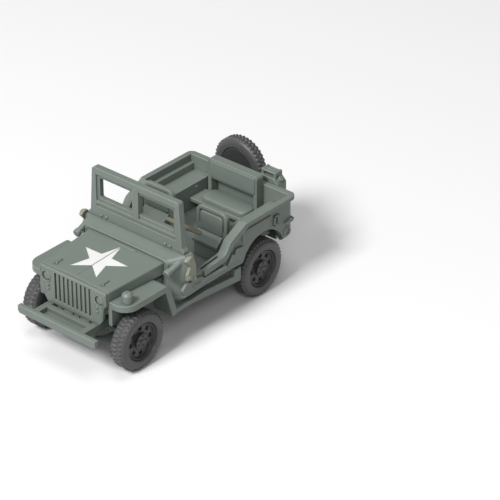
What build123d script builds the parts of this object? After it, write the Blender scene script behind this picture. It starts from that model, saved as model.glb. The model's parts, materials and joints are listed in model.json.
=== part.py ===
from build123d import *

import os
from math import cos, radians, sin

os.makedirs("parts", exist_ok=True)

# A plastic toy army 4x4 car, open topped, with its windscreen up and four free-rolling wheels.
# Millimetres. The front faces -Y, the car's left is +X, and it stands on Z = 0.

# Overall
wheelbase = 42.4
front_overhang = 12.0  # front axle to the front of the bumper
rear_overhang = 16.1  # rear axle to the back of the spare tyre
front_axle_y = front_overhang - (front_overhang + wheelbase + rear_overhang) / 2
rear_axle_y = front_axle_y + wheelbase

# Clearances
fit_gap = 0.05  # between pieces that press or turn on one another
wheel_gap = 0.4  # between a wheel and the knuckle beside it

# Wheels
tyre_radius = 7.4  # to the tips of the lugs
tyre_section = 2.7  # from the bead to the tips of the lugs
tyre_width = 4.2
tyre_outer_x = 16.2
tyre_inner_x = tyre_outer_x - tyre_width
lug_height = 0.6
lugs_per_row = 16
lug_share = 0.62  # of the pitch, at the lug's foot
shoulder_width = 0.5
shoulder_drop = 1.2  # from the tips of the lugs to the edge of the sidewall
sidewall_radius = tyre_radius - shoulder_drop
rim_radius = tyre_radius - tyre_section
rim_width = 3.0
rim_flange = 0.5  # height of the rim's edge above its disc
flange_width = 0.45
rim_slots = 8
rim_slot_ring = rim_radius - 1.45
rim_slot_size = (0.9, 1.1)  # outwards, round the ring
rim_slot_depth = 0.5
hub_radius = 1.95
hub_rise = 0.2
pin_radius = 1.0
pin_length = 2.8  # of the axle pin inside the wheel
axle_z = tyre_radius

# Chassis
rail_x = 7.2
rail_width = 1.6
rail_height = 2.0
rail_top_z = 11.7
rail_bottom_z = rail_top_z - rail_height
cross_member_depth = 1.4
bumper_half = 12.3
bumper_thick = 1.2
bumper_height = 1.95
bumper_bottom_z = 9.6
bumper_chamfer = 0.5
gusset_depth = 3.2
gusset_thick = 0.7

# Axles and springs
axle_radius = 0.9
knuckle_radius = 1.5
knuckle_length = 1.2
diff_x = -3.4
diff_radius = 1.9
diff_depth = 2.2
nose_radius = 0.9
nose_length = 3.2
pad_size = 1.8
spring_half = 7.6
spring_thick = 0.8
spring_width = 1.4
eye_radius = 0.7
eye_drop = 1.4  # spring eye below the rail

# Body
body_half = 16.25
side_wall = 1.65
inner_half = body_half - side_wall
rear_wall = 1.2
floor_thick = 1.0
floor_top_z = rail_top_z + floor_thick
body_top_z = 23.5
rim_thick = 1.0  # of the rolled rail on top of the sides
rim_lip = 0.75
rim_lip_rear = 0.45
rim_wall = 0.65  # of the side above the ledge
ledge_z = 21.5
corner_radius = 1.6
door_front_z = 17.0
door_rear_z = 18.0
door_round = 2.0
door_rail_height = 1.6
door_rail_lip = 0.6
door_rail_start = 0.275  # share of the door's length ahead of its rail
sill_groove_width = 0.65
sill_groove_depth = 1.2
side_bottom_z = 12.75  # of the sides below the doors
arch_radius = 7.85
arch_z = 10.0
box_inner_x = 9.8
box_wall = 1.2
box_top_z = 19.5
box_slope_z = 15.0

# Front end
hood_front_half = 10.5
hood_rear_half = 11.9
hood_front_z = 21.15
hood_rear_z = 21.9
hood_crease = 0.25  # fall of the top from its middle to its edges
hood_wall = 1.0
hood_round = 0.45
cowl_front_half = 13.0
cowl_front_z = 22.15
cowl_top_z = 23.2
cowl_round = 1.3
cowl_wall = 1.2
dash_bottom_z = 19.9
dash_thick = 1.0
toe_rise = 4.0
toe_run = 2.8
latch_radius = 0.75
latch_knob_radius = 0.95
grille_half = 10.5
grille_foot_half = 9.3
grille_thick = 0.95
grille_slots = 9
slot_pitch = 1.36
slot_width = 0.66
slot_top_z = 20.2
slot_bottom_z = 13.0
slot_depth = 0.65
lamp_x = 8.4
lamp_z = 18.3
lamp_radius = 1.3
lens_radius = 0.95
lamp_depth = 0.5
fender_half = body_half - 0.25
fender_inner_x = 10.4
fender_top_z = 18.4
fender_thick = 1.0
fender_rim = 1.6
fender_lip = 0.7
fender_corner = min(3.6, 0.7 * (fender_half - fender_inner_x))
fender_knee = 1.6
apron_thick = 1.0
apron_bottom_z = 12.2
sill_width = 1.5

# Windscreen
screen_thick = 1.7
screen_height = 13.1
screen_top_half = 13.6
screen_foot_half = 14.4
screen_flare_half = 15.1
screen_top_z = cowl_top_z + screen_height
pane_inner_x = 0.95
pane_outer_x = 11.65
pane_height = 5.4
pane_margin = 2.6  # frame above the panes
pane_step = 0.85
pane_step_depth = 0.45
pane_round = 0.6
screen_groove = (0.5, 0.3)  # height and depth of the groove below the panes
arm_thick = 0.85
arm_boss = 0.25

# Seats and controls
seat_half = 4.7
seat_side_gap = 1.35
seat_x = inner_half - seat_half - seat_side_gap
seat_thick = 1.1
seat_top_z = 25.5
seat_round = 1.8
seat_border = 0.9
seat_panel_depth = 0.4
cushion_half = 3.85
bench_back_half = 7.8
bench_back_thick = 2.5
bench_pad_half = 6.6
steering_z = 25.3
steering_radius = 4.5
steering_tube = 0.42
steering_tilt = 38.0  # of the wheel's plane, from level
column_radius = 0.5
column_length = 12.6
spoke_radius = 0.25

# Load on the back
spare_x = -3.45
spare_width = 3.4
spare_z = 23.1
carrier_radius = 1.6
can_x = 7.8
can_width = 5.8
can_depth = 3.3
can_bottom_z = 15.6
can_height = 9.2
tray_wall = 0.6
tray_thick = 1.0
tray_lip = 2.0


def behind(distance):
    """Y of a place that lies this far behind the front axle."""
    return front_axle_y + distance


def past(distance):
    """Y of a place that lies this far behind the rear axle."""
    return rear_axle_y + distance


# Places along the car
bumper_y = behind(-front_overhang)
rail_front_y = bumper_y + bumper_thick
grille_rear_y = behind(-5.25)
grille_front_y = grille_rear_y - grille_thick
hood_rear_y = behind(11.9)
screen_y = behind(15.3)
door_front_y = behind(17.6)
seat_back_y = past(-10.1)
door_rear_y = past(-14.6)
sill_rail_y = door_front_y + door_rail_start * (door_rear_y - door_front_y)
door_bend_y = past(-12.7)
quarter_y = past(-7.0)
box_front_y = past(-8.7)
box_crest_y = past(-4.8)
body_rear_y = past(10.9)
arch_y = past(-0.2)
rail_rear_y = body_rear_y - 0.8
spare_rear_y = past(rear_overhang)
spare_front_y = spare_rear_y - spare_width


def block(x_range, y_range, z_range, mode=Mode.ADD):
    """Box that fills three ranges."""
    spans = (x_range, y_range, z_range)
    with Locations(tuple((low + high) / 2 for low, high in spans)):
        Box(*(high - low for low, high in spans), mode=mode)


def rod(start, end, radius, mode=Mode.ADD):
    """Round bar from one point to another."""
    run = Vector(*end) - Vector(*start)
    with Locations(Plane(origin=start, z_dir=run)):
        Cylinder(radius, run.length, align=(Align.CENTER, Align.CENTER, Align.MIN), mode=mode)


def bar(start, end, radius):
    """Eight-sided bar from one point to another."""
    run = Vector(*end) - Vector(*start)
    with BuildSketch(Plane(origin=start, z_dir=run)) as section:
        RegularPolygon(radius, 8)
    extrude(section.sketch, amount=run.length)


def save(name, builder):
    """Labels a finished piece and writes its file."""
    builder.part.label = name
    export_step(builder.part, f"parts/{name}.step")


# Chassis: two rails, cross members and the plate behind the bumper
with BuildPart() as chassis_frame:
    for side in (-1, 1):
        rail_sides = sorted((side * (rail_x - rail_width / 2), side * (rail_x + rail_width / 2)))
        block(rail_sides, (rail_front_y, rail_rear_y), (rail_bottom_z, rail_top_z))
    cross_members = (behind(-7.6), behind(27.5), past(-8.4), rail_rear_y - cross_member_depth / 2)
    for y in cross_members:
        reach = (y - cross_member_depth / 2, y + cross_member_depth / 2)
        block((-rail_x, rail_x), reach, (rail_bottom_z, rail_top_z))
    gusset_z = (rail_bottom_z, rail_bottom_z + gusset_thick)
    block((-rail_x, rail_x), (rail_front_y, rail_front_y + gusset_depth), gusset_z)
save("chassis_frame", chassis_frame)

with BuildPart() as front_bumper:
    with BuildSketch(Plane.XZ.offset(-rail_front_y)):
        with Locations((0, bumper_bottom_z + bumper_height / 2)):
            beam = Rectangle(2 * bumper_half, bumper_height)
        chamfer(beam.vertices().group_by(Axis.Y)[0], length=bumper_chamfer)
    extrude(amount=bumper_thick)
save("front_bumper", front_bumper)


def rolling_axle(name, y, nose_side):
    """Axle tube with its differential, spring pads, knuckles and a pin for each wheel."""
    shoulder_x = tyre_inner_x - wheel_gap
    pin_end_x = tyre_inner_x + pin_length
    with BuildPart() as axle:
        bar((-shoulder_x, y, axle_z), (shoulder_x, y, axle_z), axle_radius)
        for side in (-1, 1):
            rod((side * shoulder_x, y, axle_z), (side * pin_end_x, y, axle_z), pin_radius)
            knuckle_start = (side * (shoulder_x - knuckle_length), y, axle_z)
            bar(knuckle_start, (side * shoulder_x, y, axle_z), knuckle_radius)
            pad_sides = (side * rail_x - pad_size / 2, side * rail_x + pad_size / 2)
            block(pad_sides, (y - pad_size / 2, y + pad_size / 2), (axle_z - axle_radius, axle_z))
        bar((diff_x, y - diff_depth / 2, axle_z), (diff_x, y + diff_depth / 2, axle_z), diff_radius)
        bar((diff_x, y, axle_z), (diff_x, y + nose_side * nose_length, axle_z), nose_radius)
    save(name, axle)


rolling_axle("front_axle", front_axle_y, 1)
rolling_axle("rear_axle", rear_axle_y, -1)


def leaf_springs(name, y):
    """Pair of bowed leaves that hang from the rails and pass below the axle."""
    eye_z = rail_bottom_z - eye_drop
    low_z = axle_z - axle_radius - fit_gap - spring_thick
    bow = (
        # share of the half length, share of the drop
        (-1.0, 0.0),
        (-0.5, 0.75),
        (-0.15, 1.0),
        (0.15, 1.0),
        (0.5, 0.75),
        (1.0, 0.0),
    )
    end_z = eye_z - spring_thick / 2
    lower = [(y + run * spring_half, end_z + drop * (low_z - end_z)) for run, drop in bow]
    upper = [(along, z + spring_thick) for along, z in reversed(lower)]
    with BuildPart() as springs:
        for side in (-1, 1):
            with BuildSketch(Plane.YZ.offset(side * rail_x - spring_width / 2)):
                with BuildLine():
                    Polyline(*lower, *upper, close=True)
                make_face()
                for end in (-1, 1):
                    with Locations((y + end * spring_half, eye_z)):
                        RegularPolygon(eye_radius, 8)
                    with Locations((y + end * spring_half, eye_z + eye_drop / 2)):
                        Rectangle(eye_radius, eye_drop)
            extrude(amount=spring_width)
    save(name, springs)


leaf_springs("front_springs", front_axle_y)
leaf_springs("rear_springs", rear_axle_y)

# Engine and gearbox, one moulding that shows from below
engine_x = (-2.2, 2.6)
engine_y = behind(3.6)
engine_z = (rail_bottom_z - 0.5, 17.0)
sump_y = behind(12.0)
sump_rise = 0.4
transfer_y = (behind(20.5), behind(24.5))
transfer_half = 1.3
with BuildPart() as engine_gearbox:
    with BuildSketch(Plane.YZ.offset(engine_x[0])):
        with BuildLine():
            Polyline(
                (engine_y, engine_z[0]),
                (engine_y, engine_z[1]),
                (hood_rear_y, engine_z[1]),
                (hood_rear_y, rail_top_z),
                (transfer_y[1], rail_top_z),
                (transfer_y[1], engine_z[0] + sump_rise),
                (sump_y, engine_z[0]),
                close=True,
            )
        make_face()
    extrude(amount=engine_x[1] - engine_x[0])
    block((diff_x - transfer_half, engine_x[0]), transfer_y, (axle_z - transfer_half, rail_top_z))
save("engine_gearbox", engine_gearbox)

shaft_radius = 0.5
with BuildPart() as prop_shafts:
    shaft_runs = (
        # from, to
        (front_axle_y + nose_length, transfer_y[0]),
        (transfer_y[1], rear_axle_y - nose_length),
    )
    for start_y, end_y in shaft_runs:
        bar((diff_x, start_y, axle_z), (diff_x, end_y, axle_z), shaft_radius)
save("prop_shafts", prop_shafts)

# Tub: floor, sides with their door cut-outs, rear panel and wheel boxes
tail_rise = 1.3
tail_run = 1.7
cowl_taper_y = screen_y - 0.1
strip_rise = 0.3
side_strips = (
    # from, to, bottom, top
    (quarter_y - 0.95, quarter_y - 0.4, 18.55, body_top_z - rim_thick),
    (quarter_y + 0.5, quarter_y + 9.4, 21.0, 21.3),
)


def sill_z(y):
    """Height of the door's bottom edge at a place along the car."""
    share = (y - door_front_y) / (door_rear_y - door_front_y)
    return door_front_z + share * (door_rear_z - door_front_z)


door_sweep = ((door_rear_y, door_rear_z), (door_bend_y, door_rear_z + 2.7), (quarter_y, body_top_z))
with BuildPart() as body_tub:
    side_outline = (
        # along the car, height, corner radius
        (hood_rear_y, rail_top_z, 0),
        (hood_rear_y, floor_top_z, 0),
        (door_front_y, floor_top_z, 0),
        (door_front_y, door_front_z, 0),
        *((y, z, door_round) for y, z in door_sweep),
        (body_rear_y, body_top_z, 0),
        (body_rear_y, rail_top_z + tail_rise, 0.5),
        (body_rear_y - tail_run, rail_top_z, 0.5),
    )
    with BuildSketch(Plane.YZ.offset(-body_half)):
        with BuildLine():
            corners = [(y, z) for y, z, _ in side_outline]
            FilletPolyline(*corners, radius=[radius for _, _, radius in side_outline], close=True)
        make_face()
    extrude(amount=2 * body_half)
    fillet(body_tub.edges().filter_by(Axis.Z).group_by(Axis.Y)[-1], radius=corner_radius)
    inside_y = (hood_rear_y - side_wall, body_rear_y - rear_wall)
    above_z = body_top_z + rim_thick
    block((-inner_half, inner_half), inside_y, (floor_top_z, above_z), mode=Mode.SUBTRACT)
    ledge_half = body_half - rim_wall
    block((-ledge_half, ledge_half), (quarter_y, inside_y[1]), (ledge_z, above_z), mode=Mode.SUBTRACT)
    box_outline = (
        # along the car, height, share of the wall thickness taken off inside, along and up
        (box_front_y, rail_top_z, 1, 0),
        (box_front_y, box_slope_z, 1, -0.4),
        (box_crest_y, box_top_z, 0.4, -1),
        (inside_y[1], box_top_z, -1, -1),
        (inside_y[1], rail_top_z, -1, 0),
    )
    well_outline = [(y + box_wall * along, z + box_wall * up) for y, z, along, up in box_outline]
    for side in (-1, 1):
        with BuildSketch(Plane.YZ.offset(min(side * box_inner_x, side * inner_half))):
            with BuildLine():
                Polyline(*((y, z) for y, z, _, _ in box_outline), close=True)
            make_face()
        extrude(amount=inner_half - box_inner_x)
        well_inner_x = box_inner_x + box_wall
        with BuildSketch(Plane.YZ.offset(min(side * well_inner_x, side * inner_half))):
            with BuildLine():
                Polyline(*well_outline, close=True)
            make_face()
        extrude(amount=inner_half - well_inner_x, mode=Mode.SUBTRACT)
        arch_inner = (side * well_inner_x, arch_y, arch_z)
        rod(arch_inner, (side * (body_half + side_wall), arch_y, arch_z), arch_radius, mode=Mode.SUBTRACT)
        under_sides = sorted((side * inner_half, side * (body_half + side_wall)))
        block(under_sides, (door_front_y, box_front_y), (rail_top_z, side_bottom_z), mode=Mode.SUBTRACT)
        with BuildSketch(Plane.XY.offset(rail_top_z)):
            with BuildLine():
                Polyline(
                    (side * cowl_front_half, hood_rear_y),
                    (side * body_half, cowl_taper_y),
                    (side * body_half, hood_rear_y),
                    close=True,
                )
            make_face()
        extrude(amount=floor_thick, mode=Mode.SUBTRACT)
        rail_sides = sorted((side * body_half, side * (body_half + door_rail_lip)))
        with BuildSketch(Plane.YZ.offset(rail_sides[0])):
            with BuildLine():
                rail_line = FilletPolyline((sill_rail_y, sill_z(sill_rail_y)), *door_sweep, radius=door_round)
                offset(rail_line, amount=door_rail_height, side=Side.RIGHT)
            make_face()
        extrude(amount=door_rail_lip)
        groove_x = side * (body_half - side_wall / 2)
        groove_y = (sill_rail_y, door_rear_y - door_round / 2)
        with BuildSketch(Plane.YZ.offset(groove_x - sill_groove_width / 2)):
            with BuildLine():
                groove_foot = [(y, sill_z(y) - sill_groove_depth) for y in groove_y]
                groove_top = [(y, sill_z(y) + sill_groove_depth) for y in reversed(groove_y)]
                Polyline(*groove_foot, *groove_top, close=True)
            make_face()
        extrude(amount=sill_groove_width, mode=Mode.SUBTRACT)
        for start_y, end_y, bottom_z, top_z in side_strips:
            strip_sides = sorted((side * body_half, side * (body_half + strip_rise)))
            block(strip_sides, (start_y, end_y), (bottom_z, top_z))
    with BuildSketch(Plane.XY.offset(body_top_z - rim_thick)):
        with Locations((0, (quarter_y + body_rear_y + rim_lip_rear) / 2)):
            rolled_rim = Rectangle(2 * (body_half + rim_lip), body_rear_y + rim_lip_rear - quarter_y)
        fillet(rolled_rim.vertices().group_by(Axis.Y)[-1], radius=corner_radius)
        with Locations((0, (quarter_y + inside_y[1]) / 2)):
            Rectangle(2 * ledge_half, inside_y[1] - quarter_y, mode=Mode.SUBTRACT)
    extrude(amount=rim_thick)
save("body_tub", body_tub)

# Cowl: firewall, tapered sides and top below the windscreen, dash, toe board and hood latches
cowl_ends = (
    # along the car, half width, top
    (hood_rear_y, cowl_front_half, cowl_front_z),
    (cowl_taper_y, body_half, cowl_top_z),
)
fire_rear_y = hood_rear_y + cowl_wall
latch_y = behind(10.7)
latch_z = 20.3
with BuildPart() as cowl:
    for y, half, top in (*cowl_ends, (door_front_y, body_half, cowl_top_z)):
        with BuildSketch(Plane.XZ.offset(-y)):
            with Locations((0, (top + floor_top_z) / 2)):
                cross_section = Rectangle(2 * half, top - floor_top_z)
            fillet(cross_section.vertices().group_by(Axis.Y)[-1], radius=cowl_round)
    loft(ruled=True)
    taper_share = cowl_wall / (cowl_taper_y - hood_rear_y)
    hollow_ends = (
        (fire_rear_y, cowl_front_half + taper_share * (body_half - cowl_front_half) - side_wall, cowl_front_z),
        (cowl_taper_y, inner_half, cowl_top_z),
    )
    for y, half, top in hollow_ends:
        with BuildSketch(Plane.XZ.offset(-y)):
            with Locations((0, (top - cowl_wall + floor_top_z) / 2)):
                Rectangle(2 * half, top - cowl_wall - floor_top_z)
    loft(mode=Mode.SUBTRACT)
    with BuildSketch(Plane.YZ.offset(-inner_half)):
        with BuildLine():
            Polyline(
                (cowl_taper_y, floor_top_z),
                (cowl_taper_y, cowl_top_z - cowl_wall),
                (door_front_y - dash_thick, cowl_top_z - cowl_wall),
                (door_front_y - dash_thick, dash_bottom_z),
                (door_front_y, dash_bottom_z),
                (door_front_y, floor_top_z),
                close=True,
            )
        make_face()
    extrude(amount=2 * inner_half, mode=Mode.SUBTRACT)
    toe_half = hollow_ends[0][1]
    with BuildSketch(Plane.YZ.offset(-toe_half)):
        with BuildLine():
            Polyline(
                (fire_rear_y, floor_top_z),
                (fire_rear_y, floor_top_z + toe_rise),
                (fire_rear_y + toe_run, floor_top_z),
                close=True,
            )
        make_face()
    extrude(amount=2 * toe_half)
    for side in (-1, 1):
        latch_x = side * (cowl_front_half + 1.3)
        bar((side * (body_half - 1.6), cowl_taper_y - 0.8, latch_z + 1.2), (latch_x, latch_y, latch_z), latch_radius)
        bar((latch_x, latch_y - 0.8, latch_z - 0.2), (latch_x, latch_y + 0.4, latch_z + 0.1), latch_knob_radius)
save("cowl", cowl)

# Hood: tapered shell with a crease along its middle, open below
hood_bottom_z = fender_top_z + fit_gap
hood_ends = (
    # along the car, half width, top
    (grille_rear_y, hood_front_half, hood_front_z),
    (hood_rear_y, hood_rear_half, hood_rear_z),
)
with BuildPart() as hood:
    for y, half, top in hood_ends:
        with BuildSketch(Plane.XZ.offset(-y)):
            with BuildLine():
                FilletPolyline(
                    (-half, hood_bottom_z),
                    (-half, top - hood_crease),
                    (0, top),
                    (half, top - hood_crease),
                    (half, hood_bottom_z),
                    radius=[0, hood_round, 0, hood_round, 0],
                    close=True,
                )
            make_face()
    loft()
    for y, half, top in hood_ends:
        with BuildSketch(Plane.XZ.offset(-y)):
            with Locations((0, (top - hood_crease - hood_wall + hood_bottom_z) / 2)):
                Rectangle(2 * (half - hood_wall), top - hood_crease - hood_wall - hood_bottom_z)
    loft(mode=Mode.SUBTRACT)
save("hood", hood)

# Grille: stamped panel with upright slots, and a sunken lamp each side
with BuildPart() as grille:
    half_outline = (
        # half width, height, corner radius
        (grille_half, hood_front_z - hood_crease, hood_round),
        (grille_half, 17.4, 0),
        (grille_foot_half + 0.4, 16.7, 0),
        (grille_foot_half, rail_top_z + 1.6, 0),
        (grille_foot_half - 1.1, rail_top_z, 0),
    )
    outline = [*half_outline, *((-x, z, radius) for x, z, radius in reversed(half_outline))]
    with BuildSketch(Plane.XZ.offset(-grille_rear_y)):
        with BuildLine():
            corners = [(x, z) for x, z, _ in outline]
            FilletPolyline(*corners, radius=[radius for _, _, radius in outline], close=True)
        make_face()
    extrude(amount=grille_thick)
    with BuildSketch(Plane.XZ.offset(-grille_front_y)):
        with Locations((0, (slot_top_z + slot_bottom_z) / 2)):
            with GridLocations(slot_pitch, 0, grille_slots, 1):
                Rectangle(slot_width, slot_top_z - slot_bottom_z)
    extrude(amount=-slot_depth, mode=Mode.SUBTRACT)
    for side in (-1, 1):
        lamp_back = (side * lamp_x, grille_front_y + lamp_depth, lamp_z)
        rod(lamp_back, (side * lamp_x, grille_front_y, lamp_z), lamp_radius, mode=Mode.SUBTRACT)
        rod(lamp_back, (side * lamp_x, grille_front_y + lamp_depth / 3, lamp_z), lens_radius)
save("grille", grille)

# Left fender: flat top with a turned-down rim, the leg behind the wheel and the sill bar
knee_y = behind(9.2)
foot_y = behind(11.9)
foot_z = 9.7
sill_end_y = past(-8.1)
sill_outline = (
    # along the car, height
    (foot_y - 1.5, foot_z),
    (behind(17.0), foot_z),
    (sill_end_y - 0.4, foot_z - 1.6),
    (sill_end_y, foot_z - 1.1),
    (sill_end_y, rail_top_z),
    (sill_end_y - 2.0, rail_top_z),
    (sill_end_y - 2.4, foot_z + 0.4),
    (behind(22.0), foot_z + 1.3),
    (foot_y - 0.5, foot_z + 1.0),
)
with BuildPart() as fender_left:
    with BuildSketch(Plane.YZ.offset(fender_inner_x)):
        with BuildLine():
            fender_line = ((grille_rear_y, fender_top_z), (knee_y, fender_top_z), (foot_y, foot_z))
            top_line = FilletPolyline(*fender_line, radius=fender_knee)
            offset(top_line, amount=fender_rim, side=Side.RIGHT)
        make_face()
    extrude(amount=fender_half - fender_inner_x)
    front_edge = fender_left.edges().filter_by(Axis.Z).group_by(Axis.X)[-1]
    fillet(front_edge, radius=fender_corner)
    with BuildSketch(Plane.XY.offset(fender_top_z - fender_thick)):
        under_x = (fender_inner_x + apron_thick, fender_half - fender_lip)
        under_y = (grille_rear_y + fender_lip, knee_y - fender_rim)
        with Locations((sum(under_x) / 2, sum(under_y) / 2)):
            under = Rectangle(under_x[1] - under_x[0], under_y[1] - under_y[0])
        front_corner = under.vertices().group_by(Axis.Y)[0].sort_by(Axis.X)[-1]
        under_corner = min(fender_corner - fender_lip, 0.8 * (under_x[1] - under_x[0]))
        fillet(front_corner, radius=under_corner)
    extrude(amount=-fender_rim, mode=Mode.SUBTRACT)
    apron_x = (fender_inner_x, fender_inner_x + apron_thick)
    block(apron_x, (grille_rear_y, hood_rear_y), (apron_bottom_z, fender_top_z - fender_thick))
    with BuildSketch(Plane.YZ.offset(fender_half - sill_width)):
        with BuildLine():
            Polyline(*sill_outline, close=True)
        make_face()
    extrude(amount=sill_width)
save("fender_left", fender_left)

with BuildPart() as fender_right:
    mirror(fender_left.part, about=Plane.YZ)
save("fender_right", fender_right)

# Windscreen frame with two open panes, each with a step round it
flare_z = (cowl_top_z + 0.7, cowl_top_z + 1.5)
with BuildPart() as windscreen:
    half_outline = (
        # half width, height, corner radius
        (screen_top_half, screen_top_z, 0.7),
        (screen_foot_half, flare_z[1], 0),
        (screen_flare_half, flare_z[0], 0),
        (screen_flare_half, cowl_top_z, 0),
    )
    outline = [*half_outline, *((-x, z, radius) for x, z, radius in reversed(half_outline))]
    with BuildSketch(Plane.XZ.offset(-screen_y)):
        with BuildLine():
            corners = [(x, z) for x, z, _ in outline]
            FilletPolyline(*corners, radius=[radius for _, _, radius in outline], close=True)
        make_face()
    extrude(amount=-screen_thick)
    pane_top_z = screen_top_z - pane_margin
    pane_mid_x = (pane_inner_x + pane_outer_x) / 2
    pane_mid_z = pane_top_z - pane_height / 2
    pane_width = pane_outer_x - pane_inner_x
    pane_places = ((pane_mid_x, pane_mid_z), (-pane_mid_x, pane_mid_z))
    with BuildSketch(Plane.XZ.offset(-screen_y)):
        with Locations(*pane_places):
            RectangleRounded(pane_width, pane_height, pane_round)
    extrude(amount=-screen_thick, mode=Mode.SUBTRACT)
    with BuildSketch(Plane.XZ.offset(-screen_y)):
        step_half = pane_outer_x + pane_step
        with Locations((0, pane_mid_z)):
            Rectangle(2 * step_half, pane_height + 2 * pane_step)
            Rectangle(2 * pane_inner_x, pane_height + 2 * pane_step, mode=Mode.SUBTRACT)
    extrude(amount=-pane_step_depth, mode=Mode.SUBTRACT)
    groove_z = pane_top_z - pane_height - 2 * pane_step
    groove_height, groove_depth = screen_groove
    groove_reach = (screen_y, screen_y + groove_depth)
    block((-step_half, step_half), groove_reach, (groove_z - groove_height, groove_z), mode=Mode.SUBTRACT)
save("windscreen", windscreen)

# Arms that hold the windscreen to the body sides, each with three bosses
arm_bosses = (
    # along the car, height, radius
    (behind(15.3), 22.4, 1.0),
    (behind(15.2), 18.0, 0.7),
    (behind(16.6), 17.2, 0.6),
)
with BuildPart() as screen_arms:
    arm_outer_x = body_half + arm_thick
    for side in (-1, 1):
        with BuildSketch(Plane.YZ.offset(min(side * body_half, side * arm_outer_x))):
            with BuildLine():
                Polyline(
                    (behind(13.9), 22.6),
                    (behind(14.5), cowl_top_z),
                    (behind(16.2), cowl_top_z),
                    (behind(17.3), 20.7),
                    (behind(17.2), 16.6),
                    (behind(15.8), 16.6),
                    (behind(15.4), 17.3),
                    (behind(14.4), 17.3),
                    (behind(14.4), 18.9),
                    (behind(15.4), 20.6),
                    close=True,
                )
            make_face()
        extrude(amount=arm_thick)
        for y, z, radius in arm_bosses:
            bar((side * body_half, y, z), (side * (arm_outer_x + arm_boss), y, z), radius)
save("screen_arms", screen_arms)


def front_seat(name, middle_x):
    """Front seat: box base, tilted cushion and an upright back with a sunken panel."""
    with BuildPart() as seat:
        with BuildSketch(Plane.XZ.offset(-seat_back_y)):
            with BuildLine():
                FilletPolyline(
                    (middle_x - seat_half, floor_top_z),
                    (middle_x - seat_half, seat_top_z),
                    (middle_x + seat_half, seat_top_z),
                    (middle_x + seat_half, floor_top_z),
                    radius=[0, seat_round, seat_round, 0],
                    close=True,
                )
            make_face()
        extrude(amount=-seat_thick)
        panel_height = 4.6
        with BuildSketch(Plane.XZ.offset(-seat_back_y)):
            with Locations((middle_x, seat_top_z - seat_border - panel_height / 2)):
                RectangleRounded(2 * (seat_half - seat_border), panel_height, seat_round - seat_border)
        extrude(amount=-seat_panel_depth, mode=Mode.SUBTRACT)
        with BuildSketch(Plane.YZ.offset(middle_x - cushion_half)):
            with BuildLine():
                Polyline(
                    (seat_back_y - 2.0, floor_top_z),
                    (seat_back_y - 2.0, 16.6),
                    (seat_back_y - 2.7, 16.9),
                    (seat_back_y - 2.7, 17.6),
                    (seat_back_y - 0.5, 19.3),
                    (seat_back_y - 0.2, 18.6),
                    (seat_back_y, 18.6),
                    (seat_back_y, floor_top_z),
                    close=True,
                )
            make_face()
        extrude(amount=2 * cushion_half)
    save(name, seat)


front_seat("driver_seat", seat_x)
front_seat("passenger_seat", -seat_x)

# Rear bench: cushion between the wheel boxes, with a padded back on two legs
bench_y = (past(2.6), past(8.4))
bench_back_y = (body_rear_y - rear_wall - bench_back_thick, body_rear_y - rear_wall)
bench_half = box_inner_x - fit_gap
bench_z = (15.4, 16.4)
cushion_top_z = 17.6
pad_z = (21.0, 26.3)
leg_width = 1.0
with BuildPart() as rear_seat:
    block((-bench_half, bench_half), bench_y, bench_z)
    with BuildSketch(Plane.XY.offset(bench_z[1])):
        with Locations((0, sum(bench_y) / 2 + 0.4)):
            RectangleRounded(2 * bench_pad_half, bench_y[1] - bench_y[0] - 1.4, 0.8)
    extrude(amount=cushion_top_z - bench_z[1])
    for side in (-1, 1):
        leg_x = sorted((side * bench_back_half, side * (bench_back_half - leg_width)))
        block(leg_x, (bench_y[0] + leg_width, bench_y[1]), (floor_top_z, bench_z[0]))
        block(leg_x, (bench_y[1] - leg_width, bench_back_y[1]), bench_z)
        block(leg_x, bench_back_y, (bench_z[0], sum(pad_z) / 2))
    with BuildSketch(Plane.XZ.offset(-bench_back_y[0])):
        with Locations((0, sum(pad_z) / 2)):
            RectangleRounded(2 * bench_back_half, pad_z[1] - pad_z[0], 0.8)
    extrude(amount=bench_back_y[0] - bench_back_y[1])
    with BuildSketch(Plane.XZ.offset(-bench_back_y[0])):
        with Locations((0, sum(pad_z) / 2)):
            Rectangle(2 * (bench_back_half - seat_border), pad_z[1] - pad_z[0] - 2 * seat_border)
    extrude(amount=-seat_panel_depth, mode=Mode.SUBTRACT)
save("rear_seat", rear_seat)

# Steering wheel on its raked column
tilt = radians(steering_tilt)
steering_centre = Vector(seat_x, behind(22.6), steering_z)
steering_axis = Vector(0, sin(tilt), cos(tilt))
steering_plane = Plane(origin=steering_centre, x_dir=(1, 0, 0), z_dir=steering_axis)
ring_radius = steering_radius - steering_tube
with BuildPart() as steering_wheel:
    with BuildSketch(Plane(origin=steering_centre, x_dir=(1, 0, 0), z_dir=steering_plane.y_dir)):
        with Locations((ring_radius, 0)):
            RegularPolygon(steering_tube, 6)
    revolve(axis=Axis(steering_centre, steering_axis))
    hub_reach = steering_axis * steering_tube
    bar(steering_centre - hub_reach, steering_centre + hub_reach, column_radius + spoke_radius)
    for angle in (90, 210, 330):
        spoke = Vector(1, 0, 0).rotate(Axis.Z, angle) * ring_radius
        bar(steering_centre, steering_plane.from_local_coords(spoke), spoke_radius)
save("steering_wheel", steering_wheel)

with BuildPart() as steering_column:
    column_top = steering_centre - steering_axis * steering_tube
    column_foot = steering_centre - steering_axis * column_length
    bar(column_top, column_foot, column_radius)
save("steering_column", steering_column)

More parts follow.
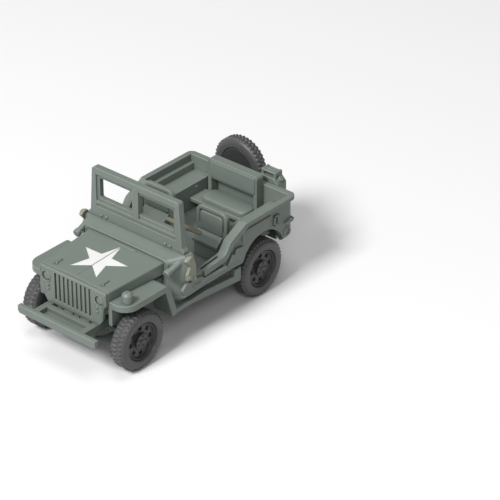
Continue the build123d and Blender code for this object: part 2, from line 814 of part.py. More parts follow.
# Levers on their cover over the gearbox
cover_half = 1.8
cover_height = 1.0
lever_radius = 0.35
knob_radius = 0.55
with BuildPart() as gear_levers:
    cover_z = (floor_top_z, floor_top_z + cover_height)
    block((-cover_half, cover_half), (door_front_y + 0.2, behind(24.0)), cover_z)
    lever_table = (
        # across, foot behind front axle, lean to the rear, height
        (0.0, 20.0, 2.6, 8.0),
        (-1.0, 22.0, 1.0, 4.6),
        (1.0, 22.6, 1.0, 4.2),
    )
    for x, foot, lean, height in lever_table:
        lever_top = Vector(x, behind(foot + lean), floor_top_z + height)
        bar((x, behind(foot), floor_top_z + lever_radius), lever_top, lever_radius)
        bar(lever_top - Vector(0, 0, knob_radius), lever_top + Vector(0, 0, knob_radius), knob_radius)
save("gear_levers", gear_levers)

# Jerrycan in its tray on the rear panel
can_sides = (can_x - can_width / 2, can_x + can_width / 2)
can_y = (body_rear_y + tray_wall, body_rear_y + tray_wall + can_depth)
can_top_z = can_bottom_z + can_height
with BuildPart() as can_tray:
    tray_sides = (can_sides[0] - tray_wall, can_sides[1] + tray_wall)
    tray_z = (can_bottom_z - tray_thick, can_bottom_z + tray_lip)
    block(tray_sides, (body_rear_y, can_y[1] + tray_wall), tray_z)
    block(can_sides, can_y, (can_bottom_z, can_top_z), mode=Mode.SUBTRACT)
save("can_tray", can_tray)

handle_radius = 0.35
handle_rise = 1.05
handle_ends = (can_x - 2.2, can_x + 1.6)
handle_spread = 0.9
spout_radius = 0.7
with BuildPart() as jerrycan:
    with BuildSketch(Plane.XZ.offset(-can_y[0])):
        with BuildLine():
            FilletPolyline(
                (can_sides[0], can_bottom_z),
                (can_sides[0], can_top_z),
                (can_sides[1] - 1.4, can_top_z),
                (can_sides[1], can_top_z - 1.4),
                (can_sides[1], can_bottom_z),
                radius=[0.3, 0.6, 0.6, 0.6, 0.3],
                close=True,
            )
        make_face()
    extrude(amount=-can_depth)
    can_mid_y = sum(can_y) / 2
    handle_z = can_top_z + handle_rise
    for shift in (-handle_spread, 0, handle_spread):
        start = (handle_ends[0], can_mid_y + shift, handle_z)
        bar(start, (handle_ends[1], can_mid_y + shift, handle_z), handle_radius)
    for x in handle_ends:
        post_reach = handle_spread + handle_radius
        post_x = (x - handle_radius, x + handle_radius)
        post_z = (can_top_z - handle_radius, handle_z + handle_radius)
        block(post_x, (can_mid_y - post_reach, can_mid_y + post_reach), post_z)
    spout_start = (can_sides[1] - 1.2, can_mid_y, can_top_z - 1.2)
    bar(spout_start, (can_sides[1] - 0.1, can_mid_y, can_top_z - 0.1), spout_radius)
save("jerrycan", jerrycan)

# Tools strapped to the left side
tool_thick = 0.7
tool_handle_radius = 0.5
tool_handle_x = body_half + fit_gap + tool_handle_radius
shovel_z = 15.0
with BuildPart() as shovel:
    with BuildSketch(Plane.YZ.offset(body_half)):
        with BuildLine():
            FilletPolyline(
                (behind(12.4), shovel_z + 0.2),
                (behind(14.0), shovel_z - 1.7),
                (sill_rail_y - 0.4, shovel_z - 1.5),
                (sill_rail_y - 0.4, shovel_z + 1.0),
                (behind(17.5), shovel_z + 1.5),
                (behind(14.0), shovel_z + 1.5),
                radius=[0.8, 0.8, 0.4, 0.4, 0.4, 0.8],
                close=True,
            )
        make_face()
    extrude(amount=tool_thick)
    grip_end = (tool_handle_x, door_rear_y, shovel_z)
    bar((tool_handle_x, sill_rail_y - 1.5, shovel_z), grip_end, tool_handle_radius)
save("shovel", shovel)

with BuildPart() as axe:
    with BuildSketch(Plane.YZ.offset(body_half)):
        with BuildLine():
            Polyline(
                (past(-13.7), 14.8),
                (past(-9.2), 14.8),
                (past(-7.9), 17.6),
                (past(-10.4), 17.9),
                (past(-11.2), 16.6),
                (past(-12.0), 17.3),
                (past(-12.6), 16.2),
                close=True,
            )
        make_face()
    extrude(amount=tool_thick)
save("axe", axe)

# Lamp standing on the left fender
post_x = fender_half - 2.2
lamp_y = behind(-2.5)
cap_radius = 1.3
cap_height = 2.6
cap_chamfer = 0.5
with BuildPart() as fender_lamp:
    rod((post_x, lamp_y, fender_top_z), (post_x, lamp_y, fender_top_z + cap_height), cap_radius)
    chamfer(fender_lamp.edges().group_by(Axis.Z)[-1], length=cap_chamfer)
save("fender_lamp", fender_lamp)

# Rear bumper blocks and the tow hook between them
bumperette_x = (6.2, 11.4)
bumperette_thick = 1.6
bumperette_z = (rail_bottom_z - 0.4, rail_top_z - 0.3)
with BuildPart() as rear_bumpers:
    for side in (-1, 1):
        block_sides = sorted(side * x for x in bumperette_x)
        block(block_sides, (rail_rear_y, rail_rear_y + bumperette_thick), bumperette_z)
save("rear_bumpers", rear_bumpers)

tow_pin_radius = 0.7
tow_pin_length = 1.6
tow_pin_gap = 2.1  # from the rear panel to the middle of the pin
tow_margin = 1.1
tow_half = 2.0
tow_plate_thick = 1.2
with BuildPart() as tow_hook:
    pin_y = body_rear_y + tow_pin_gap
    tow_plate_z = (rail_bottom_z, rail_bottom_z + tow_plate_thick)
    block((-tow_half, tow_half), (rail_rear_y, pin_y + tow_margin), tow_plate_z)
    rod((0, pin_y, tow_plate_z[1]), (0, pin_y, tow_plate_z[1] + tow_pin_length), tow_pin_radius)
save("tow_hook", tow_hook)


def lug_outline(tip_radius, root_radius, turn):
    """Corners of a tread row seen along the axle: foot, tip, tip and foot of each lug."""
    pitch = 360 / lugs_per_row
    foot = pitch * lug_share / 2
    tip = foot * 0.78
    steps = ((-foot, root_radius), (-tip, tip_radius), (tip, tip_radius), (foot, root_radius))
    corners = []
    for lug in range(lugs_per_row):
        for step, radius in steps:
            angle = radians(turn + lug * pitch + step)
            corners.append((radius * cos(angle), radius * sin(angle)))
    return corners


def tyre(name, plane, width):
    """Tyre with two staggered rows of lugs on a round carcass, its outer face along the plane's normal."""
    half = width / 2
    row_width = half - shoulder_width
    root_radius = tyre_radius - lug_height
    carcass_radius = root_radius - fit_gap
    with BuildPart() as ring:
        for side in (-1, 1):
            with BuildSketch(plane):
                with BuildLine():
                    Polyline(*lug_outline(tyre_radius, root_radius, side * 90 / lugs_per_row), close=True)
                make_face()
            extrude(amount=side * row_width)
        with BuildSketch(Plane(origin=plane.origin, x_dir=plane.x_dir, z_dir=-plane.y_dir)):
            with BuildLine():
                Polyline(
                    (rim_radius, -half),
                    (sidewall_radius, -half),
                    (carcass_radius, -row_width),
                    (carcass_radius, row_width),
                    (sidewall_radius, half),
                    (rim_radius, half),
                    close=True,
                )
            make_face()
        revolve(axis=Axis(plane.origin, plane.z_dir))
        with Locations(plane):
            Cylinder(rim_radius + fit_gap, width, mode=Mode.SUBTRACT)
    save(name, ring)


def rim(name, plane, bored):
    """Dished wheel disc with a raised hub and slots, and a blind bore for an axle pin."""
    half = rim_width / 2
    face = half - rim_flange
    bore_depth = pin_length + fit_gap - (tyre_width - rim_width) / 2
    with BuildPart() as disc:
        with BuildSketch(Plane(origin=plane.origin, x_dir=plane.x_dir, z_dir=-plane.y_dir)):
            with BuildLine():
                Polyline(
                    (0, -half),
                    (rim_radius, -half),
                    (rim_radius, half),
                    (rim_radius - flange_width, half),
                    (rim_radius - 1.5 * flange_width, face),
                    (hub_radius, face),
                    (hub_radius, half + hub_rise),
                    (0, half + hub_rise),
                    close=True,
                )
            make_face()
        revolve(axis=Axis(plane.origin, plane.z_dir))
        if bored:
            with BuildSketch(Plane(origin=plane.origin + plane.z_dir * face, x_dir=plane.x_dir, z_dir=plane.z_dir)):
                with PolarLocations(rim_slot_ring, rim_slots):
                    Rectangle(*rim_slot_size)
            extrude(amount=-rim_slot_depth, mode=Mode.SUBTRACT)
            with Locations(Plane(origin=plane.origin - plane.z_dir * half, z_dir=plane.z_dir)):
                from_mouth = (Align.CENTER, Align.CENTER, Align.MIN)
                Cylinder(pin_radius + fit_gap, bore_depth, align=from_mouth, mode=Mode.SUBTRACT)
    save(name, disc)


wheel_mid_x = tyre_outer_x - tyre_width / 2
wheel_table = (
    # place, side, axle
    ("front_left", 1, front_axle_y),
    ("front_right", -1, front_axle_y),
    ("rear_left", 1, rear_axle_y),
    ("rear_right", -1, rear_axle_y),
)
for place, side, y in wheel_table:
    wheel_plane = Plane(origin=(side * wheel_mid_x, y, axle_z), x_dir=(0, 1, 0), z_dir=(side, 0, 0))
    tyre(f"tyre_{place}", wheel_plane, tyre_width)
    rim(f"rim_{place}", wheel_plane, True)

spare_y = (spare_front_y + spare_rear_y) / 2
spare_plane = Plane(origin=(spare_x, spare_y, spare_z), x_dir=(1, 0, 0), z_dir=(0, 1, 0))
tyre("spare_tyre", spare_plane, spare_width)
rim("spare_rim", spare_plane, False)

carrier_z = body_top_z - rim_thick - carrier_radius
with BuildPart() as spare_carrier:
    carrier_end_y = spare_y - rim_width / 2
    rod((spare_x, body_rear_y, carrier_z), (spare_x, carrier_end_y, carrier_z), carrier_radius)
save("spare_carrier", spare_carrier)
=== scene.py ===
import bpy
import bmesh
import json
import math
from mathutils import Matrix, Vector


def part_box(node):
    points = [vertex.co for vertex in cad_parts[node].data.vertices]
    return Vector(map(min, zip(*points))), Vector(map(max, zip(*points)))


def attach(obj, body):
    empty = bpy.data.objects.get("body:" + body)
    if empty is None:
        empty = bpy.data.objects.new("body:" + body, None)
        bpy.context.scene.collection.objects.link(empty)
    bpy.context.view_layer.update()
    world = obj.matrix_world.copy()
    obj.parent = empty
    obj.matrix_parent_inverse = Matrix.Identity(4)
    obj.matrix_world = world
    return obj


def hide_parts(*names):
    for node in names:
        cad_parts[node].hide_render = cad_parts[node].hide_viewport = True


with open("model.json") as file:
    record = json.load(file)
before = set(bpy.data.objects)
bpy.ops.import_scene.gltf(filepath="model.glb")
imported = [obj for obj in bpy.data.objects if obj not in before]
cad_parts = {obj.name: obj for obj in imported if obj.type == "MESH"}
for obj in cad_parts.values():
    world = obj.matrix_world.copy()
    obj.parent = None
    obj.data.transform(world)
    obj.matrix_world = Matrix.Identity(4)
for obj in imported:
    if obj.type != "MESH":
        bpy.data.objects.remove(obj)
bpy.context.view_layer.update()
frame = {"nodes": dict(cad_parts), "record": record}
nodes = frame["nodes"]
mm = 0.001
axisX, axisY, axisZ = Vector((1, 0, 0)), Vector((0, 1, 0)), Vector((0, 0, 1))  # left, rearward, up
hubs = {row["child"]: Vector(row["pos_m"]) for row in frame["record"]["behaviour"]["joints"]}
axleY = hubs["wheel_front_left"].y  # places along the car are counted from the front axle
print("frame loaded:", len(nodes), "nodes")

# each plastic's colour, the paler colour painted on its edges as a highlight, its roughness and its grain
plastics = {
    "bodyPlastic": {
        "colour": (0.175, 0.208, 0.186), "pale": (0.345, 0.370, 0.315), "rough": 0.44, "grain": 0.10},
    "olivePlastic": {
        "colour": (0.175, 0.175, 0.120), "pale": (0.30, 0.295, 0.22), "rough": 0.44, "grain": 0.08},
    "chassisPlastic": {
        "colour": (0.150, 0.178, 0.155), "pale": (0.215, 0.245, 0.218), "rough": 0.48, "grain": 0.10},
    "armPlastic": {
        "colour": (0.270, 0.280, 0.215), "pale": (0.350, 0.356, 0.295), "rough": 0.42, "grain": 0.08},
    "wheelPlastic": {
        "colour": (0.040, 0.040, 0.041), "pale": (0.085, 0.085, 0.086), "rough": 0.40, "grain": 0.08},
    "tyreRubber": {
        "colour": (0.076, 0.076, 0.077), "pale": (0.150, 0.150, 0.151), "rough": 0.42, "grain": 0.14},
    "starPrint": {
        "colour": (0.80, 0.80, 0.79), "pale": (0.80, 0.80, 0.79), "rough": 0.40, "grain": 0.06},
}

# what all the mouldings share
mould = {
    "driftNoise": (220.0, 3.0),  # scale, detail
    "driftShade": (0.93, 1.07),  # shares of the colour
    "edgeRadius": 0.34 * mm,
    "edgeSamples": 6,
    "edgeTurn": (0.985, 0.80),  # how well normals agree where an edge begins and where it is full
    "hollowReach": 1.4 * mm,
    "hollowSamples": 8,
    "hollowShade": 0.62,  # painted shade: share of the colour in grooves and corners
    "glossNoise": (900.0, 2.0),
    "glossSpread": (-0.06, 0.08),
    "grainNoise": (5200.0, 2.0),
    "grainDepth": 0.05 * mm,
    "ior": 1.5,
}


def newMaterial(name):
    mat = bpy.data.materials.new(name)
    mat.use_nodes = True
    tree = mat.node_tree
    tree.nodes.clear()
    out = tree.nodes.new("ShaderNodeOutputMaterial")
    shader = tree.nodes.new("ShaderNodeBsdfPrincipled")
    tree.links.new(shader.outputs["BSDF"], out.inputs["Surface"])
    return mat, tree, shader


def colourMix(tree):
    mix = tree.nodes.new("ShaderNodeMix")
    mix.data_type = "RGBA"
    return mix


def shade(colour, share):
    return (*[c * share for c in colour], 1)


def mouldedPlastic(name, look):
    mat, tree, shader = newMaterial(name)
    new, link = tree.nodes.new, tree.links.new
    where = new("ShaderNodeTexCoord")

    def noise(scale, detail):
        tex = new("ShaderNodeTexNoise")
        tex.inputs["Scale"].default_value = scale
        tex.inputs["Detail"].default_value = detail
        link(where.outputs["Object"], tex.inputs["Vector"])
        return tex.outputs["Fac"]

    tint = colourMix(tree)  # slow drift of colour in the moulding
    for end, share in zip("AB", mould["driftShade"]):
        tint.inputs[end].default_value = shade(look["colour"], share)
    link(noise(*mould["driftNoise"]), tint.inputs["Factor"])

    soft = new("ShaderNodeBevel")  # rounded edges of the mould
    soft.samples = mould["edgeSamples"]
    soft.inputs["Radius"].default_value = mould["edgeRadius"]
    flat = new("ShaderNodeNewGeometry")
    facing = new("ShaderNodeVectorMath")
    facing.operation = "DOT_PRODUCT"
    link(soft.outputs["Normal"], facing.inputs[0])
    link(flat.outputs["Normal"], facing.inputs[1])
    edge = new("ShaderNodeMapRange")  # 1 on an edge, 0 on a flat
    edge.inputs["From Min"].default_value, edge.inputs["From Max"].default_value = mould["edgeTurn"]
    link(facing.outputs["Value"], edge.inputs["Value"])

    hollow = new("ShaderNodeAmbientOcclusion")  # 1 in the open, less in grooves and corners
    hollow.samples = mould["hollowSamples"]
    hollow.inputs["Distance"].default_value = mould["hollowReach"]
    # painted shade: the colour is darkened in grooves and corners, by how closed in the occlusion finds
    # them
    deep = colourMix(tree)
    deep.inputs["A"].default_value = shade(look["colour"], mould["hollowShade"])
    link(hollow.outputs["AO"], deep.inputs["Factor"])
    link(tint.outputs["Result"], deep.inputs["B"])

    raised = new("ShaderNodeMath")  # painted highlight: only edges that stand out, not those in grooves, are made pale
    raised.operation = "MULTIPLY"
    link(edge.outputs["Result"], raised.inputs[0])
    link(hollow.outputs["AO"], raised.inputs[1])
    # painted highlight: the pale colour laid on the standing edges
    paintedEdgeHighlight = colourMix(tree)
    paintedEdgeHighlight.inputs["B"].default_value = shade(look["pale"], 1)
    link(raised.outputs["Value"], paintedEdgeHighlight.inputs["Factor"])
    link(deep.outputs["Result"], paintedEdgeHighlight.inputs["A"])
    link(paintedEdgeHighlight.outputs["Result"], shader.inputs["Base Color"])

    gloss = new("ShaderNodeMapRange")
    for end, spread in zip(("To Min", "To Max"), mould["glossSpread"]):
        gloss.inputs[end].default_value = look["rough"] + spread
    link(noise(*mould["glossNoise"]), gloss.inputs["Value"])
    link(gloss.outputs["Result"], shader.inputs["Roughness"])

    bump = new("ShaderNodeBump")
    bump.inputs["Strength"].default_value = look["grain"]
    bump.inputs["Distance"].default_value = mould["grainDepth"]
    link(noise(*mould["grainNoise"]), bump.inputs["Height"])
    link(soft.outputs["Normal"], bump.inputs["Normal"])
    link(bump.outputs["Normal"], shader.inputs["Normal"])
    shader.inputs["IOR"].default_value = mould["ior"]
    return mat


finish = {name: mouldedPlastic(name, look) for name, look in plastics.items()}
slotFinish = {
    "body_plastic": "bodyPlastic",
    "chassis_plastic": "chassisPlastic",
    "arm_plastic": "armPlastic",
    "wheel_plastic": "wheelPlastic",
    "tyre_rubber": "tyreRubber",
}
for row in frame["record"]["subparts"]:
    mesh = nodes[row["node"]].data
    mesh.materials.clear()
    mesh.materials.append(finish[slotFinish[row["material_slot"]]])
print("finishes set")


# places are in millimetres: across, behind the front axle, up
def spot(across, behind, up):
    return Vector((across * mm, axleY + behind * mm, up * mm))


def bothSides(spots):
    return [(side * x, y, z) for side in (-1, 1) for x, y, z in spots]


def boxCentre(node):
    low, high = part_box(node)
    return (Vector(low) + Vector(high)) / 2


# a frame at centre, with its X along and its Z outward
def placeFacing(centre, along, outward):
    turn = Matrix((along, outward.cross(along), outward)).transposed().to_4x4()
    return Matrix.Translation(centre) @ turn


def addToScene(name, data):
    thing = bpy.data.objects.new(name, data)
    bpy.context.scene.collection.objects.link(thing)
    return thing


def addPiece(name, mesh, body, slot, material=None):
    piece = addToScene(name, mesh)
    mesh.materials.clear()
    mesh.materials.append(finish[material or slotFinish[slot]])
    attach(piece, body)
    return piece


# how meshes are joined, rounded and divided
meshing = {
    "weld": 0.002 * mm,
    "sharp": 38,  # degrees, from which an edge stays sharp
    "sharpSoft": 50,
    "boxRound": 0.12,
    "boxLimit": 0.4,  # of a box's thinnest side, at most
    "roundSteps": 2,
    "studDetail": 3,
    "boltSides": 6,
}


def smooth(mesh):
    mesh.polygons.foreach_set("use_smooth", [True] * len(mesh.polygons))


def finishMesh(bm, name, sharp=meshing["sharp"]):
    bmesh.ops.remove_doubles(bm, verts=bm.verts, dist=meshing["weld"])
    bmesh.ops.recalc_face_normals(bm, faces=bm.faces)
    mesh = bpy.data.meshes.new(name)
    bm.to_mesh(mesh)
    bm.free()
    smooth(mesh)
    mesh.set_sharp_from_angle(angle=math.radians(sharp))
    return mesh


def roundEdges(bm, edges, offset):
    steps = meshing["roundSteps"]
    bmesh.ops.bevel(bm, geom=edges, offset=offset, segments=steps, profile=0.5, affect="EDGES")


def softBox(bm, low, high, rounding=meshing["boxRound"], place=None):
    low, high = Vector(low) * mm, Vector(high) * mm
    size = high - low
    where = (place or Matrix.Translation((0, axleY, 0))) @ Matrix.Translation((low + high) / 2)
    made = bmesh.ops.create_cube(bm, size=1.0, matrix=where @ Matrix.Diagonal((*size, 1)))
    edges = list({edge for vert in made["verts"] for edge in vert.link_edges})
    roundEdges(bm, edges, min(rounding * mm, meshing["boxLimit"] * min(size)))


# faces between rings of points, in order
def skin(bm, rings, closed=False, ends=False):
    pairs = list(zip(rings, rings[1:]))
    if closed:
        pairs.append((rings[-1], rings[0]))
    for here, there in pairs:
        count = len(here)
        for k in range(count):
            bm.faces.new((here[k], here[(k + 1) % count], there[(k + 1) % count], there[k]))
    if ends:
        bm.faces.new(rings[0])
        bm.faces.new(rings[-1])


def tube(bm, points, radius, sides=8, closed=False):
    rings = []
    count = len(points)
    lead = None
    turns = [2 * math.pi * k / sides for k in range(sides)]
    for i, point in enumerate(points):
        before = points[i - 1] if (i > 0 or closed) else point
        after = points[(i + 1) % count] if (i < count - 1 or closed) else point
        along = (after - before).normalized()
        if lead is None:
            lead = along.orthogonal()
        lead = (lead - along * lead.dot(along)).normalized()
        beside = along.cross(lead)
        spokes = [lead * math.cos(t) + beside * math.sin(t) for t in turns]
        rings.append([bm.verts.new(point + radius * mm * spoke) for spoke in spokes])
    skin(bm, rings, closed, ends=not closed)


def circle(centre, radius, across, up, steps=40, start=0.0, sweep=360.0):
    count = steps if sweep == 360.0 else steps + 1
    turns = [math.radians(start + sweep * i / steps) for i in range(count)]
    return [centre + radius * mm * (across * math.cos(t) + up * math.sin(t)) for t in turns]


def lathe(bm, profile, steps, loop):
    turns = [2 * math.pi * k / steps for k in range(steps)]
    rings = []
    for radius, along in profile:
        reach, height = radius * mm, along * mm
        rings.append([bm.verts.new((reach * math.cos(t), reach * math.sin(t), height)) for t in turns])
    skin(bm, rings, closed=loop)


# node trees for what repeats
def newTree(name, inputs):
    tree = bpy.data.node_groups.new(name, "GeometryNodeTree")
    tree.interface.new_socket("Geometry", in_out="INPUT", socket_type="NodeSocketGeometry")
    for label, kind in inputs.items():
        tree.interface.new_socket(label, in_out="INPUT", socket_type="NodeSocket" + kind)
    tree.interface.new_socket("Geometry", in_out="OUTPUT", socket_type="NodeSocketGeometry")
    return tree, tree.nodes.new("NodeGroupInput")


def wire(tree, rows):
    for source, output, target, socket in rows:
        tree.links.new(source.outputs[output], target.inputs[socket])


def endTree(tree, given, last):
    realize = tree.nodes.new("GeometryNodeRealizeInstances")
    paint = tree.nodes.new("GeometryNodeSetMaterial")
    out = tree.nodes.new("NodeGroupOutput")
    wire(tree, (
        (last, "Instances", realize, "Geometry"),
        (realize, "Geometry", paint, "Geometry"),
        (given, "Finish", paint, "Material"),
        (paint, "Geometry", out, "Geometry"),
    ))


# a ball on each point of the base mesh
def studTree():
    tree, given = newTree("studs", {"Radius": "Float", "Finish": "Material"})
    ball = tree.nodes.new("GeometryNodeMeshIcoSphere")
    ball.inputs["Subdivisions"].default_value = meshing["studDetail"]
    spread = tree.nodes.new("GeometryNodeInstanceOnPoints")
    wire(tree, (
        (given, "Radius", ball, "Radius"),
        (given, "Geometry", spread, "Points"),
        (ball, "Mesh", spread, "Instance"),
    ))
    endTree(tree, given, spread)
    return tree


# bolts round a ring
def boltTree():
    tree, given = newTree("boltRing", {
        "Count": "Int", "Ring": "Float", "Radius": "Float", "Depth": "Float", "Finish": "Material"})
    ring = tree.nodes.new("GeometryNodeMeshCircle")
    bolt = tree.nodes.new("GeometryNodeMeshCylinder")
    bolt.inputs["Vertices"].default_value = meshing["boltSides"]
    spread = tree.nodes.new("GeometryNodeInstanceOnPoints")
    wire(tree, (
        (given, "Count", ring, "Vertices"),
        (given, "Ring", ring, "Radius"),
        (given, "Radius", bolt, "Radius"),
        (given, "Depth", bolt, "Depth"),
        (ring, "Mesh", spread, "Points"),
        (bolt, "Mesh", spread, "Instance"),
    ))
    endTree(tree, given, spread)
    return tree


# leaning lugs round a ring, each facing outwards
def treadTree():
    tree, given = newTree("treadRow", {
        "Lugs": "Int", "Ring": "Float", "Size": "Vector", "Lean": "Rotation", "Finish": "Material"})
    ring = tree.nodes.new("GeometryNodeMeshCircle")
    lug = tree.nodes.new("GeometryNodeMeshCube")
    place = tree.nodes.new("GeometryNodeInputPosition")
    outward = tree.nodes.new("FunctionNodeAlignRotationToVector")
    outward.axis = "X"
    outward.pivot_axis = "Z"
    spread = tree.nodes.new("GeometryNodeInstanceOnPoints")
    lean = tree.nodes.new("GeometryNodeRotateInstances")
    wire(tree, (
        (given, "Lugs", ring, "Vertices"),
        (given, "Ring", ring, "Radius"),
        (given, "Size", lug, "Size"),
        (place, "Position", outward, "Vector"),
        (ring, "Mesh", spread, "Points"),
        (lug, "Mesh", spread, "Instance"),
        (outward, "Rotation", spread, "Rotation"),
        (spread, "Instances", lean, "Instances"),
        (given, "Lean", lean, "Rotation"),
    ))
    endTree(tree, given, lean)
    return tree


def grow(tree, points, values):
    base = bpy.data.meshes.new("points")
    base.from_pydata([tuple(p) for p in points], [], [])
    holder = addToScene("grower", base)
    step = holder.modifiers.new("grow", "NODES")
    step.node_group = tree
    for socket in tree.interface.items_tree:
        if socket.in_out == "INPUT" and socket.name in values:
            step[socket.identifier] = values[socket.name]
    mesh = bpy.data.meshes.new_from_object(holder.evaluated_get(bpy.context.evaluated_depsgraph_get()))
    bpy.data.objects.remove(holder)
    return mesh


def growInto(bm, tree, values, place):
    mesh = grow(tree, [], values)
    mesh.transform(place)
    bm.from_mesh(mesh)


studs, boltRing, treadRow = studTree(), boltTree(), treadTree()

# tyres: round carcass with two rows of small lugs, in a frame whose Z is the axle
tyreLook = {
    "width": 4.2,
    "spareWidth": 3.4,
    "steps": 96,
    "halfProfile": (  # radius, from the middle of the tread outwards
        (7.18, 0.0), (7.16, 0.8), (7.08, 1.30), (6.92, 1.66), (6.66, 1.92), (6.30, 2.06), (6.12, 2.05),
        (6.02, 2.09), (5.60, 2.10), (5.30, 2.05), (5.20, 2.09), (5.05, 2.08), (4.88, 1.96), (4.76, 1.70)),
    "lugs": 40,
    "lugRing": 7.08,
    "lugSize": (0.60, 0.66, 1.36),  # outwards, round the tread, across it
    "lugOut": 0.78,
    "lugLean": 14.0,
    "lugRound": 0.09,
}


# the spare is a narrower wheel of the same shape
def setWheel(bm, place, width):
    narrow = Matrix.Diagonal((1, 1, width / tyreLook["width"], 1))
    bmesh.ops.transform(bm, verts=bm.verts, matrix=place @ narrow)


def tyreMesh(name, place, width):
    look = tyreLook
    bm = bmesh.new()
    half = look["halfProfile"]
    profile = [*reversed(half)] + [(r, -z) for r, z in half[1:]]
    lathe(bm, profile, look["steps"], loop=True)
    rows = bmesh.new()
    for side in (-1, 1):
        turn = Matrix.Rotation(side * math.pi / 2 / look["lugs"], 4, "Z")
        growInto(rows, treadRow, {
            "Lugs": look["lugs"],
            "Ring": look["lugRing"] * mm,
            "Size": Vector(look["lugSize"]) * mm,
            "Lean": (math.radians(side * look["lugLean"]), 0, 0),
            "Finish": finish["tyreRubber"],
        }, Matrix.Translation((0, 0, side * look["lugOut"] * mm)) @ turn)
    roundEdges(rows, rows.edges[:], look["lugRound"] * mm)
    tread = bpy.data.meshes.new("tread")
    rows.to_mesh(tread)
    rows.free()
    bm.from_mesh(tread)
    setWheel(bm, place, width)
    return finishMesh(bm, name)


# rim trim: hub cap, wheel bolts, and the beads round the rim and the hub
trimLook = {
    "hubFace": 1.7,  # out from the middle of the wheel
    "flangeFace": 1.5,
    "bolts": 5,
    "boltRing": 1.25,
    "boltRadius": 0.25,
    "boltDepth": 0.36,
    "cap": ((0.0, 1.55), (0.66, 1.55), (0.64, 1.76), (0.50, 1.86), (0.28, 1.91), (0.0, 1.92)),
    "capSteps": 28,
    "beadRing": 4.45,
    "beadRadius": 0.20,
    "hubRing": 1.95,
    "hubBead": 0.14,
    "ringSteps": 64,
}


def trimMesh(name, place, width):
    look = trimLook
    bm = bmesh.new()
    lathe(bm, look["cap"], look["capSteps"], loop=False)
    beads = (
        (look["beadRing"], look["beadRadius"], look["flangeFace"]),
        (look["hubRing"], look["hubBead"], look["hubFace"]),
    )
    for ring, bead, out in beads:
        middle = Vector((0, 0, out * mm))
        tube(bm, circle(middle, ring, axisX, axisY, look["ringSteps"]), bead, closed=True)
    growInto(bm, boltRing, {
        "Count": look["bolts"],
        "Ring": look["boltRing"] * mm,
        "Radius": look["boltRadius"] * mm,
        "Depth": look["boltDepth"] * mm,
        "Finish": finish["wheelPlastic"],
    }, Matrix.Translation((0, 0, look["hubFace"] * mm)))
    setWheel(bm, place, width)
    return finishMesh(bm, name)


def dressWheel(corner, place, width, body, plainTyre):
    tyre = addPiece("treadTyre_" + corner, tyreMesh("tyre", place, width), body, "tyre_rubber")
    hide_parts(plainTyre)
    addPiece("wheelTrim_" + corner, trimMesh("trim", place, width), body, "wheel_plastic")


for body, hub in hubs.items():
    corner = body.replace("wheel_", "")
    outward = Vector((math.copysign(1, hub.x), 0, 0))
    dressWheel(corner, placeFacing(hub, axisY, outward), tyreLook["width"], body, "tyre_" + corner)
sparePlace = placeFacing(boxCentre("spare_tyre"), axisX, axisY)
dressWheel("spare", sparePlace, tyreLook["spareWidth"], "car", "spare_tyre")
print("wheels dressed")

# top of the hood, which rises to the rear and falls from its middle crease to the sides
hoodShape = {
    "front": (-5.25, 21.15, 10.5),  # behind the axle, height, half width
    "rear": (11.9, 21.9, 11.9),
    "fall": 0.25,
}


def hoodTop(across, behind):
    frontY, frontZ, frontHalf = hoodShape["front"]
    rearY, rearZ, rearHalf = hoodShape["rear"]
    share = (behind - frontY) / (rearY - frontY)
    half = frontHalf + share * (rearHalf - frontHalf)
    return frontZ + share * (rearZ - frontZ) - hoodShape["fall"] * abs(across) / half


# star printed on the hood, in two halves that follow its crease
starLook = {
    "points": 5,
    "behind": 3.2,
    "reach": 7.1,
    "waist": 0.39,  # inner corners, share of the reach
    "gap": 0.07,  # to the crease, each side
    "lift": 0.03,
}


def starMesh():
    look = starLook
    bm = bmesh.new()
    outline = []
    for i in range(look["points"] + 1):  # one half, from the rear point to the waist in front
        reach = look["reach"] * (1 if i % 2 == 0 else look["waist"])
        turn = math.pi * i / look["points"]
        outline.append((reach * math.sin(turn), look["behind"] + reach * math.cos(turn)))
    count = len(outline)
    for side in (-1, 1):
        top, foot = [], []
        for across, behind in outline:
            x = side * max(across, look["gap"])
            z = hoodTop(x, behind)
            top.append(bm.verts.new(spot(x, behind, z + look["lift"])))
            foot.append(bm.verts.new(spot(x, behind, z - look["lift"])))
        middle = spot(side * look["gap"], look["behind"], hoodTop(look["gap"], look["behind"]))
        for face, lift in ((top, look["lift"]), (foot, -look["lift"])):
            centre = bm.verts.new(middle + Vector((0, 0, lift * mm)))
            for i in range(count):
                bm.faces.new((centre, face[i], face[(i + 1) % count]))
        skin(bm, [top, foot])
    return finishMesh(bm, "star")


addPiece("hoodStar", starMesh(), "car", "body_plastic", "starPrint")

# raised lines on the hood and the bead where the cowl meets it
hoodLook = {
    "stripHalf": 4.0,
    "strip": (10.75, 11.25),
    "stripRise": 0.22,
    "stripSink": 0.2,
    "blockX": 7.35,
    "block": (-4.2, -1.7),
    "blockHalf": 0.24,
    "blockRise": 0.3,
    "blockSink": 0.4,
    "footHalf": 0.55,
    "footLength": 0.5,
    "crease": (-5.1, 11.7),
    "creaseRadius": 0.10,
    "creaseSides": 6,
    "beadBehind": 12.05,
    "beadHalf": 12.95,
    "beadTop": 22.15,
    "beadFoot": 18.9,
    "beadCorner": 1.3,
    "beadRadius": 0.30,
    "beadSteps": 6,
}


